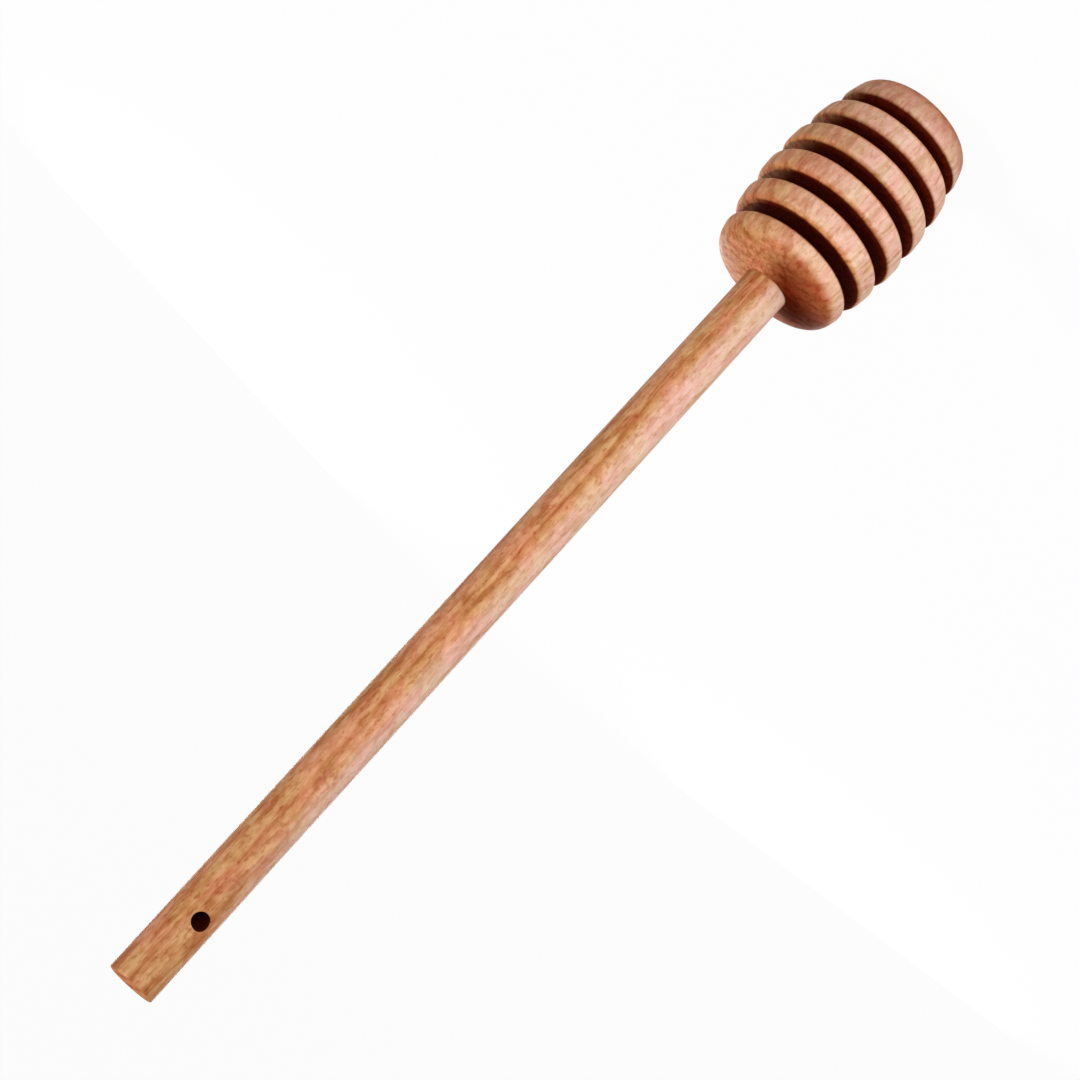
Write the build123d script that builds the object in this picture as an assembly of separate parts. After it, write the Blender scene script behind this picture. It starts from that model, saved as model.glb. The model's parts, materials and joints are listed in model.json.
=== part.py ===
from build123d import *
import os
from math import acos, ceil, radians, sqrt, tan

# Honey dipper: a turned wooden head with deep grooves, and a dowel handle glued into it.
# Millimetres. Z runs along the dipper, and the origin is the middle of the head's flat end,
# on which the dipper stands. The handle points up, and the hanging hole runs along Y.
# The head's section is drawn with radius across and height up, then turned about Z.

overall_length = 189.2

# Handle, a length of round dowel
handle_diameter = 8.0
arris_chamfer = 0.3

# Hanging hole, drilled straight through the handle near its free end
hanging_hole_diameter = 3.0
hanging_hole_from_free_end = 13.0

# Head, a turned barrel with a low dome on the handle's side
head_length = 40.5
head_widest_diameter = 27.4
head_widest_from_handle_side = 19.8
barrel_arc_radius = 66.7
dome_radius = 33.0
handle_side_round = 2.9
end_side_round = 3.4

# Grooves that hold the honey, and the lands between them
groove_count = 5
groove_width = 1.72
groove_floor_diameter = 13.0
land_edge_round = 1.05
first_land_length = 6.38
last_land_length = 6.3

# Glued joint: the dowel's foot sits in a drilled socket with a drill-point bottom
socket_depth = 15.0
drill_point_angle_degrees = 118.0
socket_mouth_chamfer = 0.15
glue_gap = 0.05

# One overrun serves every cut
cut_overrun = 2.0

# The head's rounds are made as narrow straight cuts, which stay this near to the true arc
largest_cut_gap = 0.08

# Worked out from the sizes above
handle_radius = handle_diameter / 2
socket_radius = handle_radius + glue_gap
socket_floor_height = head_length - socket_depth
drill_point_depth = socket_radius / tan(radians(drill_point_angle_degrees / 2))
head_radius = head_widest_diameter / 2
head_widest_height = head_length - head_widest_from_handle_side
groove_floor_radius = groove_floor_diameter / 2
grooved_length = head_length - first_land_length - last_land_length
groove_pitch = (grooved_length - groove_width) / (groove_count - 1)
top_groove_height = head_length - first_land_length - groove_width / 2
groove_heights = [top_groove_height - step * groove_pitch for step in range(groove_count)]
# A land's two rounds take less than the land between them
largest_round_share = 0.48
land_round = min(land_edge_round, largest_round_share * (groove_pitch - groove_width))


def barrel_radius(height):
    """Radius of the barrel's long arc at a height above the flat end."""
    rise = height - head_widest_height
    return head_radius - barrel_arc_radius + sqrt(barrel_arc_radius**2 - rise**2)


def corner_at(section, height):
    """The section's corner that lies nearest to the barrel's arc at a height."""
    return section.vertices().sort_by_distance((barrel_radius(height), height, 0))[0]


def dome_height(radius):
    """Height of the domed side at a radius."""
    return head_length - dome_radius + sqrt(dome_radius**2 - radius**2)


def barrel_section():
    """The ungrooved barrel: a long arc from a flat end to a domed one, with rounded shoulders."""
    arc_centre = Pos(head_radius - barrel_arc_radius, head_widest_height)
    dome_centre = Pos(0, head_length - dome_radius)
    block = Rectangle(head_radius, head_length, align=(Align.MIN, Align.MIN))
    section = block & arc_centre * Circle(barrel_arc_radius) & dome_centre * Circle(dome_radius)
    section = fillet(corner_at(section, head_length), handle_side_round)
    return fillet(corner_at(section, 0), end_side_round)


def groove_section():
    """One groove's slot, from its floor out past the barrel."""
    slot_depth = head_radius + cut_overrun - groove_floor_radius
    slot = Rectangle(slot_depth, groove_width, align=(Align.MIN, Align.CENTER))
    return Pos(groove_floor_radius, 0) * slot


def in_straight_cuts(section):
    """The section with its arcs drawn as short chords, few for a small or shallow arc."""
    points = []
    for edge in section.face().outer_wire().order_edges():
        cuts = 1
        if edge.geom_type == GeomType.CIRCLE:
            cut_turn = 2 * acos(1 - largest_cut_gap / edge.radius)
            cuts = ceil(edge.length / edge.radius / cut_turn)
        points += [edge @ (cut / cuts) for cut in range(cuts)]
    return make_face(Polyline(*points, close=True))


def socket_section():
    """The drilled socket, with its drill point below and its eased mouth above."""
    mouth_radius = socket_radius + socket_mouth_chamfer
    mouth_height = dome_height(mouth_radius)
    outline = Polyline(
        (0, socket_floor_height - drill_point_depth),
        (socket_radius, socket_floor_height),
        (socket_radius, mouth_height - socket_mouth_chamfer),
        (mouth_radius, mouth_height),
        (mouth_radius, head_length + cut_overrun),
        (0, head_length + cut_overrun),
        close=True,
    )
    return make_face(outline)


def make_head():
    """The turned head: barrel, grooves with rounded lands, and the socket."""
    section = barrel_section()
    for height in groove_heights:
        section -= Pos(0, height) * groove_section()
    half_groove = groove_width / 2
    land_edges = []
    for height in groove_heights:
        land_edges.append(corner_at(section, height + half_groove))
        land_edges.append(corner_at(section, height - half_groove))
    section = fillet(land_edges, land_round) - socket_section()
    return revolve(Plane.XZ * in_straight_cuts(section), axis=Axis.Z)


def make_handle():
    """The dowel, from its foot in the socket up to the free end, with the hanging hole."""
    dowel_length = overall_length - socket_floor_height
    dowel = Cylinder(handle_radius, dowel_length, align=(Align.CENTER, Align.CENTER, Align.MIN))
    dowel = chamfer(dowel.edges().filter_by(GeomType.CIRCLE), arris_chamfer)
    hole_length = handle_diameter + 2 * cut_overrun
    hole = Rot(90, 0, 0) * Cylinder(hanging_hole_diameter / 2, hole_length)
    dowel -= Pos(0, 0, dowel_length - hanging_hole_from_free_end) * hole
    return Pos(0, 0, socket_floor_height) * dowel


os.makedirs("parts", exist_ok=True)
export_step(make_head(), "parts/dipper_head.step")
export_step(make_handle(), "parts/handle.step")
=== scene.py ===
import json
from math import atan2, cos, pi, radians, sin, sqrt

import bmesh
import bpy
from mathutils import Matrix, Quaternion, Vector


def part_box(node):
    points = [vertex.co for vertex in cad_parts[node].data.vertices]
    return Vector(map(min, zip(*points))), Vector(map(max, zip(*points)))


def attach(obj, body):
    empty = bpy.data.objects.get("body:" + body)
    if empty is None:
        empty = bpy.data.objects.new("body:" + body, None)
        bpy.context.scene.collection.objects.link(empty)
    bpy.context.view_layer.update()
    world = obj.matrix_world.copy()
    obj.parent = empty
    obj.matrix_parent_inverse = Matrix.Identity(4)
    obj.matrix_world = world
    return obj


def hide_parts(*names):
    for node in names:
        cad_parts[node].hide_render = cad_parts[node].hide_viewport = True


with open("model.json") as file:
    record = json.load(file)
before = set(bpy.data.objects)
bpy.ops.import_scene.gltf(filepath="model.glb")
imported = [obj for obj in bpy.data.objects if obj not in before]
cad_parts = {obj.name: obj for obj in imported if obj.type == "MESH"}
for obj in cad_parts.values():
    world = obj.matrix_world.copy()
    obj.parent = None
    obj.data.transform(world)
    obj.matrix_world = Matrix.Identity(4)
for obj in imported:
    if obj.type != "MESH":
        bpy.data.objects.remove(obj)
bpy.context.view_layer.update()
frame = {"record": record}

# The honey dipper's looks: two wooden pieces, remade as fine meshes inside the CAD solids, with
# procedural wood, on a pale floor under soft studio light. Lengths are in millimetres where a
# name ends in _mm or a section is drawn, and in metres everywhere else.
MM = 0.001

# Head, turned about Z
widest_radius_mm = 13.7
widest_height_mm = 20.7
barrel_arc_radius_mm = 66.7
dome_radius_mm = 33.0
handle_side_round_mm = 2.9
end_side_round_mm = 3.4
crown_height_mm = 40.5
first_land_length_mm = 6.38
last_land_length_mm = 6.3
land_edge_round_mm = 1.4
groove_count = 5
groove_width_mm = 1.72
groove_floor_radius_mm = 6.5
groove_floor_round_mm = 0.4
socket_radius_mm = 4.05
socket_mouth_mm = 0.15
socket_depth_mm = 15.0
drill_point_depth_mm = 2.43
barrel_centre_mm = widest_radius_mm - barrel_arc_radius_mm

# Handle, a round dowel with a hanging hole
arris_round_mm = 0.25
hole_rim_round_mm = 0.1
bore_ring_depths_mm = (0.5, 1.2, 2.0, 2.8, 3.6)

# The bore's painted shade darkens this many times as fast with depth as the grooves' does
bore_darkness = 2.5

# How finely the meshes follow their curves
head_columns = 240
handle_columns = 80
arc_step_degrees = 8.0
crown_steps = 8
rim_steps = 5

# The square window in the handle's grid that the hole's rings fill
window_columns = 16
window_rings = 6

# Rows of faces along the straight and slightly curved stretches
flat_end_rows = 8
groove_wall_rows = 8
dome_rows = 12
socket_mouth_rows = 3
socket_wall_rows = 4
foot_rows = 4
shaft_rows = 24
above_hole_rows = 4
free_end_rows = 6


# Sections, as lists of (radius, height) in millimetres

def arc(centre, radius, start, end):
    """Points on a circle from one angle to another, in radians, both ends included."""
    steps = max(2, round(abs(end - start) / radians(arc_step_degrees)))
    angles = [start + (end - start) * step / steps for step in range(steps + 1)]
    return [(centre[0] + radius * cos(a), centre[1] + radius * sin(a)) for a in angles]


def line(start, end, steps):
    """Points from one place to another, without the last one."""
    shares = [step / steps for step in range(steps)]
    return [tuple(a + (b - a) * share for a, b in zip(start, end)) for share in shares]


def barrel_radius_mm(height):
    """The barrel's radius at a height, before any groove is cut."""
    rise = height - widest_height_mm
    return barrel_centre_mm + sqrt(barrel_arc_radius_mm**2 - rise**2)


def dome_height_mm(radius):
    """The height of the head's domed side at a radius."""
    return crown_height_mm - dome_radius_mm + sqrt(dome_radius_mm**2 - radius**2)


def round_to_side(height, radius, side):
    """A round from the barrel's arc to a land's flat side: its circle and its two angles."""
    centre_height = height - side * radius
    rise = centre_height - widest_height_mm
    reach = sqrt((barrel_arc_radius_mm - radius) ** 2 - rise**2)
    return (barrel_centre_mm + reach, centre_height), radius, atan2(rise, reach), side * pi / 2


def round_to_dome(radius):
    """The round from the barrel's arc to the dome: its circle and its two angles."""
    # Its centre is where two circles meet, one inside the barrel's arc and one inside the dome
    barrel = Vector((barrel_centre_mm, widest_height_mm))
    dome = Vector((0, crown_height_mm - dome_radius_mm))
    apart = dome - barrel
    barrel_reach = barrel_arc_radius_mm - radius
    dome_reach = dome_radius_mm - radius
    along = (barrel_reach**2 - dome_reach**2 + apart.length_squared) / (2 * apart.length)
    aside = sqrt(barrel_reach**2 - along**2)
    ahead = apart.normalized()
    centre = barrel + ahead * along + Vector((-ahead.y, ahead.x)) * aside
    from_barrel = centre - barrel
    from_dome = centre - dome
    barrel_angle = atan2(from_barrel.y, from_barrel.x)
    dome_angle = atan2(from_dome.y, from_dome.x)
    return tuple(centre), radius, barrel_angle, dome_angle


def land(low_round, high_round):
    """One land's outline, from round to round over its crown on the barrel's arc."""
    low_centre, low_radius, low_lean, low_end = low_round
    high_centre, high_radius, high_lean, high_end = high_round
    turn = (high_lean - low_lean) / crown_steps
    leans = [low_lean + turn * step for step in range(1, crown_steps)]
    crown = [(barrel_centre_mm + barrel_arc_radius_mm * cos(a),
              widest_height_mm + barrel_arc_radius_mm * sin(a)) for a in leans]
    return (arc(low_centre, low_radius, low_end, low_lean) + crown
            + arc(high_centre, high_radius, high_lean, high_end))


def groove(outer_below, outer_above):
    """One groove, from the land below it to the land above it, with a rounded floor."""
    low, high = outer_below[1], outer_above[1]
    corner = groove_floor_radius_mm + groove_floor_round_mm
    low_centre = (corner, low + groove_floor_round_mm)
    high_centre = (corner, high - groove_floor_round_mm)
    inward = line(outer_below, (corner, low), groove_wall_rows)[1:]
    floor = (arc(low_centre, groove_floor_round_mm, -pi / 2, -pi)
             + arc(high_centre, groove_floor_round_mm, pi, pi / 2))
    outward = line((corner, high), outer_above, groove_wall_rows)[1:]
    return inward + floor + outward


def socket(dome_edge_radius):
    """The domed side from its edge in to the socket, and the socket down to its tip."""
    floor = crown_height_mm - socket_depth_mm
    mouth_radius = socket_radius_mm + socket_mouth_mm
    mouth = (mouth_radius, dome_height_mm(mouth_radius))
    wall_top = (socket_radius_mm, mouth[1] - socket_mouth_mm)
    wall_foot = (socket_radius_mm, floor)
    across_dome = line((dome_edge_radius, 0.0), (mouth_radius, 0.0), dome_rows)[1:]
    section = [(radius, dome_height_mm(radius)) for radius, _ in across_dome]
    section += line(mouth, wall_top, socket_mouth_rows)
    section += line(wall_top, wall_foot, socket_wall_rows)
    return section + [wall_foot, (0.0, floor - drill_point_depth_mm)]


def head_section():
    """The head's outline, from the middle of its flat end round to the tip of its socket."""
    grooved = crown_height_mm - first_land_length_mm - last_land_length_mm
    pitch = (grooved - groove_width_mm) / (groove_count - 1)
    low_round = round_to_side(0.0, end_side_round_mm, -1)
    land_top = last_land_length_mm
    section = line((0.0, 0.0), (low_round[0][0], 0.0), flat_end_rows)
    for _ in range(groove_count):
        section += land(low_round, round_to_side(land_top, land_edge_round_mm, 1))
        next_foot = land_top + groove_width_mm
        low_round = round_to_side(next_foot, land_edge_round_mm, -1)
        section += groove(section[-1], (low_round[0][0], next_foot))
        land_top += pitch
    section += land(low_round, round_to_dome(handle_side_round_mm))
    return section + socket(section[-1][0])


def handle_section(radius, foot, end, hole_height):
    """The dowel's outline, and which of its rows the windows round the hole take up."""
    reach = radius * sin(pi * window_columns / handle_columns)
    heights = [hole_height + reach * (2 * row / window_columns - 1)
               for row in range(window_columns + 1)]
    inner = radius - arris_round_mm
    foot_round_top = foot + arris_round_mm
    end_round_foot = end - arris_round_mm
    section = line((0.0, foot), (inner, foot), foot_rows)
    section += arc((inner, foot_round_top), arris_round_mm, -pi / 2, 0)
    section += line((radius, foot_round_top), (radius, heights[0]), shaft_rows)[1:]
    first = len(section)
    section += [(radius, height) for height in heights]
    section += line((radius, heights[-1]), (radius, end_round_foot), above_hole_rows)[1:]
    section += arc((inner, end_round_foot), arris_round_mm, 0, pi / 2)
    section += line((inner, end), (0.0, end), free_end_rows)[1:] + [(0.0, end)]
    return section, range(first, first + window_columns)


# Meshes

def ring_of(mesh, points):
    """A ring of vertices from points in millimetres."""
    return [mesh.verts.new(Vector(point) * MM) for point in points]


def turned_ring(mesh, radius, height, columns):
    """A ring about Z that starts at +Y, or a single vertex where the radius is nothing."""
    if radius == 0:
        return ring_of(mesh, [(0, 0, height)])
    turns = [2 * pi * (column - columns // 2) / columns for column in range(columns)]
    return ring_of(mesh, [(radius * sin(a), -radius * cos(a), height) for a in turns])


def join_rings(mesh, lower, upper, skipped=()):
    """Faces between two rings of vertices, where either may be a single one."""
    count = max(len(lower), len(upper))
    for column in range(count):
        if column in skipped:
            continue
        following = (column + 1) % count
        corners = [lower[column % len(lower)], lower[following % len(lower)],
                   upper[following % len(upper)], upper[column % len(upper)]]
        mesh.faces.new(list(dict.fromkeys(corners)))


def finish_mesh(mesh, name, material):
    """Turns a bmesh into a smooth-shaded object with its material."""
    bmesh.ops.delete(mesh, geom=[v for v in mesh.verts if not v.link_faces], context="VERTS")
    bmesh.ops.recalc_face_normals(mesh, faces=mesh.faces)
    data = bpy.data.meshes.new(name)
    mesh.to_mesh(data)
    mesh.free()
    data.shade_smooth()
    data.materials.append(material)
    piece = bpy.data.objects.new(name, data)
    bpy.context.collection.objects.link(piece)
    return piece


def make_head(material):
    """The turned head, one closed skin from its flat end round to its socket."""
    mesh = bmesh.new()
    recess = mesh.verts.layers.float.new("recess_mm")
    # Only the grooves are recesses: the flat end and the domed side lie outside these heights
    lowest_recess = last_land_length_mm / 2
    highest_recess = crown_height_mm - first_land_length_mm / 2
    rings = []
    for radius, height in head_section():
        rings.append(turned_ring(mesh, radius, height, head_columns))
        if lowest_recess < height < highest_recess:
            for vertex in rings[-1]:
                vertex[recess] = barrel_radius_mm(height) - radius
    for lower, upper in zip(rings, rings[1:]):
        join_rings(mesh, lower, upper)
    return finish_mesh(mesh, "turned_head", material)


def hole_rings(mesh, edge, radius, hole_radius, hole_height, side):
    """Rings from the window's edge in to the hole, over its rounded rim and to its middle."""
    def on_dowel(x, z, depth=0.0):
        return (x, side * (sqrt(radius**2 - x**2) - depth), z)

    outline = [vertex.co / MM for vertex in edge]
    turns = [atan2(point.z - hole_height, point.x) for point in outline]
    rim = hole_radius + hole_rim_round_mm
    rings = [edge]
    for ring in range(1, window_rings + 1):
        share = ring / window_rings
        rings.append(ring_of(mesh, [
            on_dowel(point.x + (rim * cos(a) - point.x) * share,
                     point.z + (hole_height + rim * sin(a) - point.z) * share)
            for point, a in zip(outline, turns)]))
    for step in range(1, rim_steps + 1):
        lean = pi / 2 * step / rim_steps
        reach = rim - hole_rim_round_mm * sin(lean)
        depth = hole_rim_round_mm * (1 - cos(lean))
        rings.append(ring_of(mesh, [on_dowel(reach * cos(a), hole_height + reach * sin(a), depth)
                                    for a in turns]))
    recess = mesh.verts.layers.float["recess_mm"]
    for depth in bore_ring_depths_mm:
        bore = [(hole_radius * cos(a), side * (radius - depth), hole_height + hole_radius * sin(a))
                for a in turns]
        rings.append(ring_of(mesh, bore))
        # The bore's depth sets its painted shade
        for vertex in rings[-1]:
            vertex[recess] = depth * bore_darkness
    return rings


def window_edge(rings, rows, columns):
    """The vertices round a window in a grid of rings, in order."""
    count = len(rings[rows[0]])
    low, high = rows[0], rows[-1] + 1
    left, right = columns[0], columns[-1] + 1
    edge = [rings[low][column % count] for column in range(left, right)]
    edge += [rings[row][right % count] for row in range(low, high)]
    edge += [rings[high][column % count] for column in range(right, left, -1)]
    edge += [rings[row][left % count] for row in range(high, low, -1)]
    return edge


def make_handle(material, hole):
    """The dowel, with the hanging hole bored through it along Y."""
    low, high = (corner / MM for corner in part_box("handle"))
    radius = (high.x - low.x) / 2
    hole_height = hole["pos_m"][2] / MM
    hole_radius = hole["dims"]["r_mm"]
    section, window_rows = handle_section(radius, low.z, high.z, hole_height)
    mesh = bmesh.new()
    mesh.verts.layers.float.new("recess_mm")
    rings = [turned_ring(mesh, point[0], point[1], handle_columns) for point in section]

    # One window at the front, at -Y, and one at the back, where the columns start again
    first_front = (handle_columns - window_columns) // 2
    first_back = handle_columns - window_columns // 2
    front = range(first_front, first_front + window_columns)
    back = range(first_back, first_back + window_columns)
    in_windows = [column % handle_columns for column in (*front, *back)]
    for row, (lower, upper) in enumerate(zip(rings, rings[1:])):
        join_rings(mesh, lower, upper, skipped=in_windows if row in window_rows else ())

    walls = []
    for columns, side in ((front, -1), (back, 1)):
        edge = window_edge(rings, window_rows, columns)
        bores = hole_rings(mesh, edge, radius, hole_radius, hole_height, side)
        for outer, inner in zip(bores, bores[1:]):
            join_rings(mesh, outer, inner)
        walls.append(bores[-1])
    front_wall, back_wall = walls
    opposite = [min(back_wall, key=lambda other: (other.co.xz - vertex.co.xz).length)
                for vertex in front_wall]
    join_rings(mesh, front_wall, opposite)
    return finish_mesh(mesh, "dowel_handle", material)


# Materials

# Sides of the dipper that its wood is laid out by. They are fixed to the dipper, at the turn from
# which the camera shows it: its front, and a quarter turn from that, its pale side. They follow
# the dipper's pale and dark places as guesses: a painted sheen on the pale side, and painted shade
# in the grooves, on one half of the domed side, near the standing end and in one side of the
# crease.
front_turn = radians(22.0)
front_side = Vector((sin(front_turn), -cos(front_turn)))
pale_side = Vector((-cos(front_turn), -sin(front_turn)))

# Beech's noises: features per millimetre along three axes, then detail, then roughness. The
# axes are X, Y and Z, but for rays they are round the pith, out from it and along Z, and for the
# tool's rings out from Z and along it.
bend_noise = ((0.05, 0.05, 0.022), 1.0, 0.5)
streak_noise = ((0.9, 0.9, 0.12), 3.0, 0.55)
fibre_noise = ((4.0, 4.0, 0.24), 3.0, 0.55)
drift_noise = ((0.33, 0.33, 0.16), 2.0, 0.6)
cloud_noise = ((0.8, 0.8, 0.42), 3.0, 0.6)
speck_noise = ((1.9, 1.9, 0.8), 2.0, 0.5)
ray_noise = ((3.6, 0.22, 0.62), 1.0, 0.5)
tool_ring_noise = ((3.0, 3.0, 3.0), 2.0, 0.6)

# A noise's middle value
noise_middle = 0.5

# Where each mark starts to show and where it is full, in its noise's values
hue_range = (0.38, 0.62)
cloud_range = (0.36, 0.66)
speck_range = (0.54, 0.72)
streak_range = (0.46, 0.66)
fibre_range = (0.35, 0.70)
ray_range = (0.64, 0.74)

# The same for late wood's rise and fall, in shares of a year, and for end grain, in how far the
# surface faces up or down
late_wood_rise = (0.4, 0.88)
late_wood_fall = (0.9, 1.0)
end_grain_range = (0.2, 0.8)

# How far the grain bends from side to side
bend_mm = (3.0, 3.0, 0.0)

# Wood tones, as linear colours, and tints that multiply them
yellow_wood = (0.79, 0.445, 0.20, 1)
pink_wood = (0.85, 0.405, 0.225, 1)
# Paler copies of the two wood tones, painted as sheen on the pale side
yellow_painted_sheen = (0.87, 0.62, 0.45, 1)
pink_painted_sheen = (0.90, 0.56, 0.47, 1)
cloud_tint = (0.80, 0.63, 0.50, 1)
speck_tint = (0.76, 0.53, 0.40, 1)
ring_tint = (0.80, 0.62, 0.46, 1)
streak_tint = (0.70, 0.46, 0.29, 1)
fibre_tint = (0.91, 0.85, 0.80, 1)
ray_tint = (0.72, 0.58, 0.48, 1)
end_grain_tint = (0.92, 0.80, 0.70, 1)
# Painted shade on half of the domed side and near the standing end
painted_shade_tint = (0.66, 0.42, 0.33, 1)
# The handle's painted shadow in the crease round its foot
crease_shadow_tint = (0.34, 0.16, 0.11, 1)
# Painted shade in the grooves and the bore
recess_shade_tint = (0.16, 0.035, 0.02, 1)

# Painted sheen on the pale side, as paler wood: its border is uneven by this much, it fades over
# this height, and this share of its paleness is left where it has faded and in end grain
border_unevenness_mm = 5.0
painted_sheen_fade_mm = 30.0
paleness_left = 0.05

# How strongly the marks show, and how much of that is left under the painted sheen
painted_sheen_contrast = 0.6
ring_strength = 0.8
painted_sheen_ring_strength = 0.3
ray_strength = 0.7

# Painted shade and shadow on the turned head. Each range goes from none to the full one, in
# height, along the painted sheen's direction, out from Z, or along the crease's side, which is
# between front and pale. The crease's painted shadow stands in for part of the handle's shadow
# there.
shaded_half_height_mm = (35.0, 38.0)
shaded_half_border_mm = (-9.0, -3.0)
standing_end_height_mm = (7.0, 2.0)
standing_end_strength = 0.6
crease_side = (front_side * 0.6 + pale_side).normalized()
crease_height_mm = (36.0, 38.5)
crease_border_mm = (-1.0, 5.0)
crease_reach_mm = (13.0, 5.0)
crease_unevenness_mm = 5.0

# Recesses: the depths where their painted shade starts and is full dark, each on the far side and
# on the pale side, and how much of that shade the far side keeps at least. Both ranges run along
# pale_side, where the grooves' painted shade is darkest.
dark_from_mm = (0.28, 0.13)
full_dark_mm = (0.70, 0.40)
dark_side_range_mm = (5.0, 12.0)
least_far_side_shade = 0.3
far_side_shade_range_mm = (-12.5, -8.5)

# Gloss: the shine of clean wood and of dark places, the roughness of smooth wood and of coarse
# fibres, and what a dark place adds to that
clean_shine = 0.16
dark_shine = 0.02
smooth_roughness = 0.42
fibre_roughness = 0.62
dark_added_roughness = 0.4

# Relief: fibres and rays are sunken, and the turning tool's rings stand up
fibre_relief_mm = -0.016
ray_relief_mm = -0.008
tool_ring_relief_mm = 0.012

# The colour sockets of a mix node
mix_first = 6
mix_second = 7
mix_result = 2


class Graph:
    """A material's nodes, each given its inputs as values or as other nodes' sockets."""

    def __init__(self, name):
        self.material = bpy.data.materials.new(name)
        self.material.use_nodes = True
        self.tree = self.material.node_tree
        self.shader = self.tree.nodes["Principled BSDF"]

    def set(self, node, inputs):
        for key, value in inputs.items():
            if isinstance(value, bpy.types.NodeSocket):
                self.tree.links.new(value, node.inputs[key])
            else:
                node.inputs[key].default_value = value

    def node(self, kind, inputs=None, output=0, **settings):
        made = self.tree.nodes.new(kind)
        for key, value in settings.items():
            setattr(made, key, value)
        self.set(made, inputs or {})
        return made.outputs[output]

    def math(self, operation, a, b=0.0, c=0.0):
        return self.node("ShaderNodeMath", {0: a, 1: b, 2: c}, operation=operation)

    def product(self, *factors):
        result = factors[0]
        for factor in factors[1:]:
            result = self.math("MULTIPLY", result, factor)
        return result

    def between(self, share, none, full):
        """A number that goes from one value to another as the share goes from 0 to 1."""
        return self.math("MULTIPLY_ADD", share, full - none, none)

    def step(self, value, low, high):
        """0 at low, 1 at high and smooth between them, where low may also be the larger."""
        inputs = {"Value": value, "From Min": low, "From Max": high}
        return self.node("ShaderNodeMapRange", inputs, interpolation_type="SMOOTHSTEP")

    def vector(self, operation, a, b=(0, 0, 0)):
        output = "Value" if operation in ("LENGTH", "DOT_PRODUCT") else "Vector"
        return self.node("ShaderNodeVectorMath", {0: a, 1: b}, output, operation=operation)

    def split(self, vector):
        return self.node("ShaderNodeSeparateXYZ", {0: vector}).node.outputs

    def join(self, x, y, z=0.0):
        return self.node("ShaderNodeCombineXYZ", {0: x, 1: y, 2: z})

    def noise(self, place, kind, output="Fac"):
        """One of the noises above, at a place in millimetres."""
        per_mm, detail, roughness = kind
        inputs = {"Vector": self.vector("MULTIPLY", place, per_mm), "Scale": 1.0,
                  "Detail": detail, "Roughness": roughness}
        return self.node("ShaderNodeTexNoise", inputs, output)

    def mix(self, share, first, second, blend="MIX"):
        inputs = {"Factor": share, mix_first: first, mix_second: second}
        return self.node("ShaderNodeMix", inputs, mix_result, data_type="RGBA", blend_type=blend)

    def tint(self, share, colour, tint):
        """The colour, multiplied by a tint as far as the share says."""
        return self.mix(share, colour, tint, "MULTIPLY")


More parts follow.
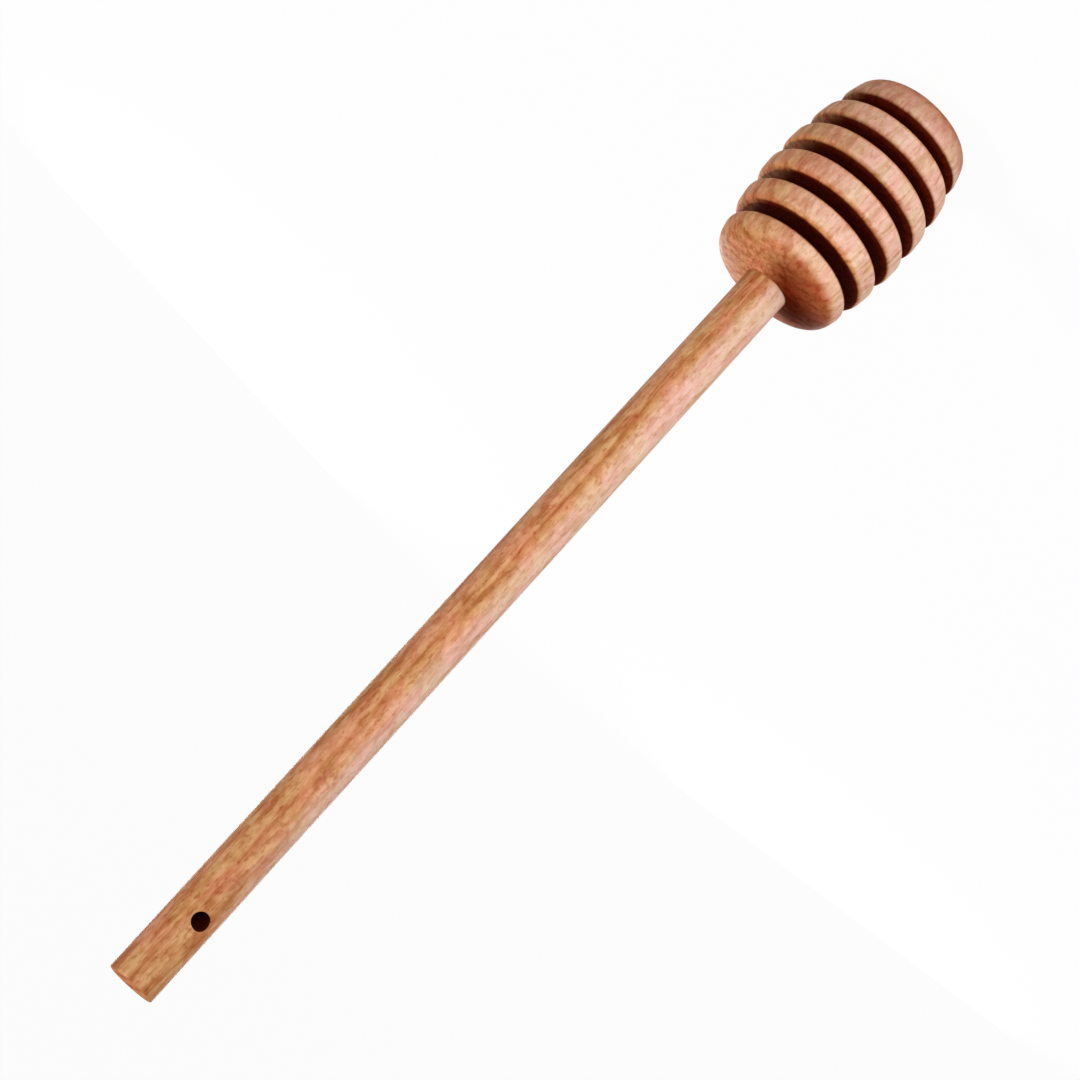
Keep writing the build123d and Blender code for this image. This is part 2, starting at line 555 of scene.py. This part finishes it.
class Beech(Graph):
    """Beech, worked out through its volume: rings about a pith, fibres along Z, and rays.

    The pith is where the tree's middle line meets the floor, and the seed shifts the noises.
    """

    def __init__(self, name, pith_mm, seed, ring_spacing_mm):
        super().__init__(name)
        metres = self.node("ShaderNodeTexCoord", output="Object")
        self.place = self.vector("MULTIPLY", metres, (1 / MM, 1 / MM, 1 / MM))
        self.height = self.split(self.place)[2]

        # The grain's own place, measured from the pith along slowly bent fibres
        bend = self.noise(self.place, bend_noise, "Color")
        bend = self.vector("SUBTRACT", bend, (noise_middle, noise_middle, noise_middle))
        self.bent = self.vector("ADD", self.place, self.vector("MULTIPLY", bend, bend_mm))
        from_pith = self.vector("SUBTRACT", self.bent, (*pith_mm, seed))
        x, y, z = self.split(from_pith)
        reach = self.vector("LENGTH", self.join(x, y))
        round_pith = self.math("MULTIPLY", self.math("ARCTAN2", y, x), pith_mm.length)

        # Streaks of darker fibres, fine fibres, and drifts, clouds and specks of tone
        self.streak = self.noise(from_pith, streak_noise)
        self.fibre = self.noise(from_pith, fibre_noise)
        self.drift = self.noise(from_pith, drift_noise)
        self.cloud = self.noise(from_pith, cloud_noise)
        self.speck = self.noise(from_pith, speck_noise)

        # Rays: thin sheets that run out from the pith, so they show as dashes, flecks or lines
        ray = self.noise(self.join(round_pith, reach, z), ray_noise)
        self.ray = self.step(ray, *ray_range)

        # Growth rings: slowly darker through the year, then a quick return
        year = self.math("FRACT", self.math("DIVIDE", reach, ring_spacing_mm))
        fall = self.step(year, *late_wood_fall)
        self.late_wood = self.product(self.step(year, *late_wood_rise), self.between(fall, 1, 0))

        # End grain: the faces cut across the fibres
        self.upward = self.split(self.node("ShaderNodeTexCoord", output="Normal"))[2]
        self.end_grain = self.step(self.math("ABSOLUTE", self.upward), *end_grain_range)

    def distance_from_axis(self):
        """The distance from the Z axis, in millimetres."""
        x, y, _ = self.split(self.place)
        return self.vector("LENGTH", self.join(x, y))

    def find_painted_sheen(self, direction, start_mm, full_mm, top_mm):
        """A painted sheen, as paler wood, from where it starts along a direction, and up to its
        top.
        """
        outward = self.vector("DOT_PRODUCT", self.bent, direction)
        unevenness = self.math("SUBTRACT", self.streak, noise_middle)
        self.outward = self.math("MULTIPLY_ADD", unevenness, border_unevenness_mm, outward)
        faded = self.step(self.height, top_mm - painted_sheen_fade_mm, top_mm)
        self.pale = self.product(self.step(self.outward, start_mm, full_mm),
                                 self.between(self.end_grain, 1, paleness_left),
                                 self.between(faded, 1, paleness_left))

    def clean_colour(self, contrast):
        """Two hues of heartwood, paler copies of them as painted sheen, and the darker marks of
        the grain.
        """
        hue = self.step(self.drift, *hue_range)
        heartwood = self.mix(hue, yellow_wood, pink_wood)
        painted_sheen = self.mix(hue, yellow_painted_sheen, pink_painted_sheen)
        colour = self.mix(self.pale, heartwood, painted_sheen)
        strength = self.between(self.pale, contrast, contrast * painted_sheen_contrast)
        ring_share = self.between(self.pale, ring_strength, painted_sheen_ring_strength)
        for share, tint in ((self.step(self.cloud, *cloud_range), cloud_tint),
                            (self.step(self.speck, *speck_range), speck_tint),
                            (self.product(self.late_wood, ring_share), ring_tint),
                            (self.step(self.streak, *streak_range), streak_tint),
                            (self.step(self.fibre, *fibre_range), fibre_tint),
                            (self.product(self.ray, ray_strength), ray_tint)):
            colour = self.tint(self.product(share, strength), colour, tint)
        # End grain drinks oil, so it is darker
        return self.tint(self.end_grain, colour, end_grain_tint)

    def add_painted_shade(self, colour):
        """Painted shade on the turned head: where the handle shades its end grain, and near the
        standing end.
        """
        # Painted shade on one half of the end grain round the socket, and a little on the standing
        # end
        round_socket = self.product(self.step(self.upward, *end_grain_range),
                                    self.step(self.height, *shaded_half_height_mm),
                                    self.step(self.outward, *shaded_half_border_mm))
        standing_end = self.product(self.step(self.height, *standing_end_height_mm),
                                    standing_end_strength)
        return self.tint(self.math("MAXIMUM", round_socket, standing_end), colour, painted_shade_tint)

    def crease(self):
        """The handle's painted shadow in one side of the crease round its foot. Glue
        and dust, as a guess, in one side of the crease round the handle's foot.
        """
        unevenness = self.math("SUBTRACT", self.cloud, noise_middle)
        reach = self.math("MULTIPLY_ADD", unevenness, crease_unevenness_mm,
                          self.distance_from_axis())
        facing = self.vector("DOT_PRODUCT", self.place, (*crease_side, 0.0))
        return self.product(self.step(reach, *crease_reach_mm),
                            self.step(self.height, *crease_height_mm),
                            self.step(facing, *crease_border_mm))

    def painted_recess_shade(self):
        """Deep recesses are painted dark, as shade, and darkest on the pale side. scorched by the
        tool, and full of fine dust and oil.
        """
        recess = self.node("ShaderNodeAttribute", output="Fac", attribute_name="recess_mm")
        aside = self.vector("DOT_PRODUCT", self.place, (*pale_side, 0.0))
        on_pale_side = self.step(aside, *dark_side_range_mm)
        start = self.between(on_pale_side, *dark_from_mm)
        full = self.between(on_pale_side, *full_dark_mm)
        side_shade = self.between(self.step(aside, *far_side_shade_range_mm), least_far_side_shade, 1)
        return self.product(self.step(recess, start, full), side_shade)

    def set_surface(self, colour, dark, turned):
        """The shader's colour, gloss and relief, where dark places are duller."""
        roughness = self.math("MULTIPLY_ADD", dark, dark_added_roughness,
                              self.between(self.fibre, smooth_roughness, fibre_roughness))
        relief_mm = self.math("MULTIPLY", self.fibre, fibre_relief_mm)
        relief_mm = self.math("MULTIPLY_ADD", self.ray, ray_relief_mm, relief_mm)
        if turned:
            turned_place = self.join(self.distance_from_axis(), self.height)
            tool_ring = self.noise(turned_place, tool_ring_noise)
            relief_mm = self.math("MULTIPLY_ADD", tool_ring, tool_ring_relief_mm, relief_mm)
        relief = self.math("MULTIPLY", relief_mm, MM)
        bump = self.node("ShaderNodeBump", {"Height": relief, "Strength": 1.0, "Distance": 1.0})
        self.set(self.shader, {"Base Color": colour, "Roughness": roughness,
                               "Specular IOR Level": self.between(dark, clean_shine, dark_shine),
                               "Normal": bump})


def make_wood(name, pith_mm, seed, ring_spacing_mm, contrast, painted_sheen, turned):
    """A piece's wood. Turned wood is the head's, with its painted shade and shadow and its tool's
    fine rings.
    """
    beech = Beech(name, pith_mm, seed, ring_spacing_mm)
    beech.find_painted_sheen(**painted_sheen)
    colour = beech.clean_colour(contrast)
    dark = beech.painted_recess_shade()
    dull = dark
    if turned:
        # The handle's painted shadow in one side of the crease
        crease = beech.crease()
        # Painted shade on the head's end grain, then the crease's painted shadow over it
        colour = beech.tint(crease, beech.add_painted_shade(colour), crease_shadow_tint)
        dull = beech.math("MAXIMUM", dark, crease)
    # Painted shade darkens the recesses
    beech.set_surface(beech.tint(dark, colour, recess_shade_tint), dull, turned)
    return beech.material


# Pieces

# Each painted sheen's direction leans a little down, so that it is wider at the standing end
head_painted_sheen = {"direction": (*pale_side, -0.14), "start_mm": -17.0, "full_mm": -2.0,
                "top_mm": 57.0}
handle_painted_sheen = {"direction": (*pale_side, -0.012), "start_mm": -1.6, "full_mm": 1.0,
                  "top_mm": 182.0}
head_wood = make_wood(
    "turned_wood",
    pith_mm=front_side * -26.0 + pale_side * 9.0,
    seed=40.0,
    ring_spacing_mm=2.1,
    contrast=0.85,
    painted_sheen=head_painted_sheen,
    turned=True)
handle_wood = make_wood(
    "dowel_wood",
    pith_mm=front_side * -12.0 + pale_side * 36.0,
    seed=7.0,
    ring_spacing_mm=2.7,
    contrast=0.9,
    painted_sheen=handle_painted_sheen,
    turned=False)
hanging_hole = next(mount for mount in frame["record"]["mounts"]
                    if mount["name"] == "hanging_hole")
head = make_head(head_wood)
handle = make_handle(handle_wood, hanging_hole)
for piece, node, slot in ((head, "dipper_head", "head_wood"), (handle, "handle", "handle_wood")):
    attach(piece, "root")
    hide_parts(node)


# Studio

floor_reach = 8.0
floor_colour = (0.7, 0.7, 0.7, 1)
floor_roughness = 0.9
world_strength = 0.12

# How near to white the floor looks to the camera, which leaves a little of the object's shadow
floor_whiteness = 0.965

camera_azimuth = radians(22.0)
camera_elevation = radians(17.648)
camera_roll = radians(-137.647)
camera_lens_mm = 94.83
camera_sensor_mm = 36.0
camera_place = (0.156799, -0.389402, 0.230759)

# Soft boxes: name, turn in degrees from the camera's azimuth towards the picture's lower right,
# distance from the Z axis, height, height aimed at, the box's width and height, and watts
lamps = (
    ("key_light", 36, 0.25, 0.035, 0.06, 0.18, 0.11, 0.40),
    ("fill_light", -8, 0.30, 0.18, 0.14, 0.14, 0.11, 0.26),
    ("edge_light", 95, 0.17, 0.04, 0.04, 0.14, 0.07, 0.02),
    ("side_light", -40, 0.35, 0.35, 0.05, 0.16, 0.16, 0.10),
    ("high_light", -85, 0.15, 0.75, 0.03, 0.07, 0.07, 2.75),
    ("left_back_light", -163, 0.40, 0.06, 0.08, 0.12, 0.20, 0.60),
    ("right_back_light", 160, 0.40, 0.06, 0.08, 0.12, 0.20, 0.40),
)


def make_floor():
    """A pale floor that looks white to the camera and keeps part of the object's shadow."""
    mesh = bmesh.new()
    bmesh.ops.create_grid(mesh, x_segments=1, y_segments=1, size=floor_reach)
    data = bpy.data.meshes.new("floor")
    mesh.to_mesh(data)
    mesh.free()
    piece = bpy.data.objects.new("floor", data)
    bpy.context.collection.objects.link(piece)
    graph = Graph("pale_floor")
    graph.set(graph.shader, {"Base Color": floor_colour, "Roughness": floor_roughness,
                             "Specular IOR Level": 0.0})
    white = graph.node("ShaderNodeEmission", {"Strength": 1.0})
    rays = graph.tree.nodes.new("ShaderNodeLightPath").outputs
    seen = graph.math("MAXIMUM", rays["Is Camera Ray"], rays["Is Glossy Ray"])
    seen = graph.math("MAXIMUM", seen, rays["Is Transmission Ray"])
    shown = graph.node("ShaderNodeMixShader", {0: graph.product(seen, floor_whiteness),
                                               1: graph.shader.outputs[0], 2: white})
    graph.tree.links.new(shown, graph.tree.nodes["Material Output"].inputs["Surface"])
    data.materials.append(graph.material)


def make_lamp(name, turn, distance, height, aim_height, box_width, box_height, watts):
    """A soft box that faces the Z axis and that the camera doesn't see."""
    data = bpy.data.lights.new(name, "AREA")
    data.shape = "RECTANGLE"
    data.size = box_width
    data.size_y = box_height
    data.energy = watts
    lamp = bpy.data.objects.new(name, data)
    angle = camera_azimuth - radians(turn)
    lamp.location = (sin(angle) * distance, -cos(angle) * distance, height)
    aim = Vector((0, 0, aim_height)) - lamp.location
    lamp.rotation_mode = "QUATERNION"
    lamp.rotation_quaternion = aim.to_track_quat("-Z", "Y")
    lamp.visible_camera = False
    bpy.context.collection.objects.link(lamp)


def make_world():
    """A weak, even white light from all round."""
    world = bpy.data.worlds.new("studio")
    world.use_nodes = True
    background = world.node_tree.nodes["Background"]
    background.inputs["Color"].default_value = (1, 1, 1, 1)
    background.inputs["Strength"].default_value = world_strength
    bpy.context.scene.world = world


def make_camera():
    """The camera, at the place and turn from which the photograph shows the dipper."""
    data = bpy.data.cameras.new("camera")
    data.lens = camera_lens_mm
    data.sensor_width = camera_sensor_mm
    camera = bpy.data.objects.new("camera", data)
    camera.location = camera_place
    ahead = Vector((-sin(camera_azimuth) * cos(camera_elevation),
                    cos(camera_azimuth) * cos(camera_elevation),
                    -sin(camera_elevation)))
    camera.rotation_mode = "QUATERNION"
    level = ahead.to_track_quat("-Z", "Y")
    camera.rotation_quaternion = level @ Quaternion((0, 0, 1), camera_roll)
    bpy.context.collection.objects.link(camera)
    bpy.context.scene.camera = camera


make_floor()
for lamp_values in lamps:
    make_lamp(*lamp_values)
make_world()
make_camera()
bpy.context.scene.view_settings.view_transform = "Standard"
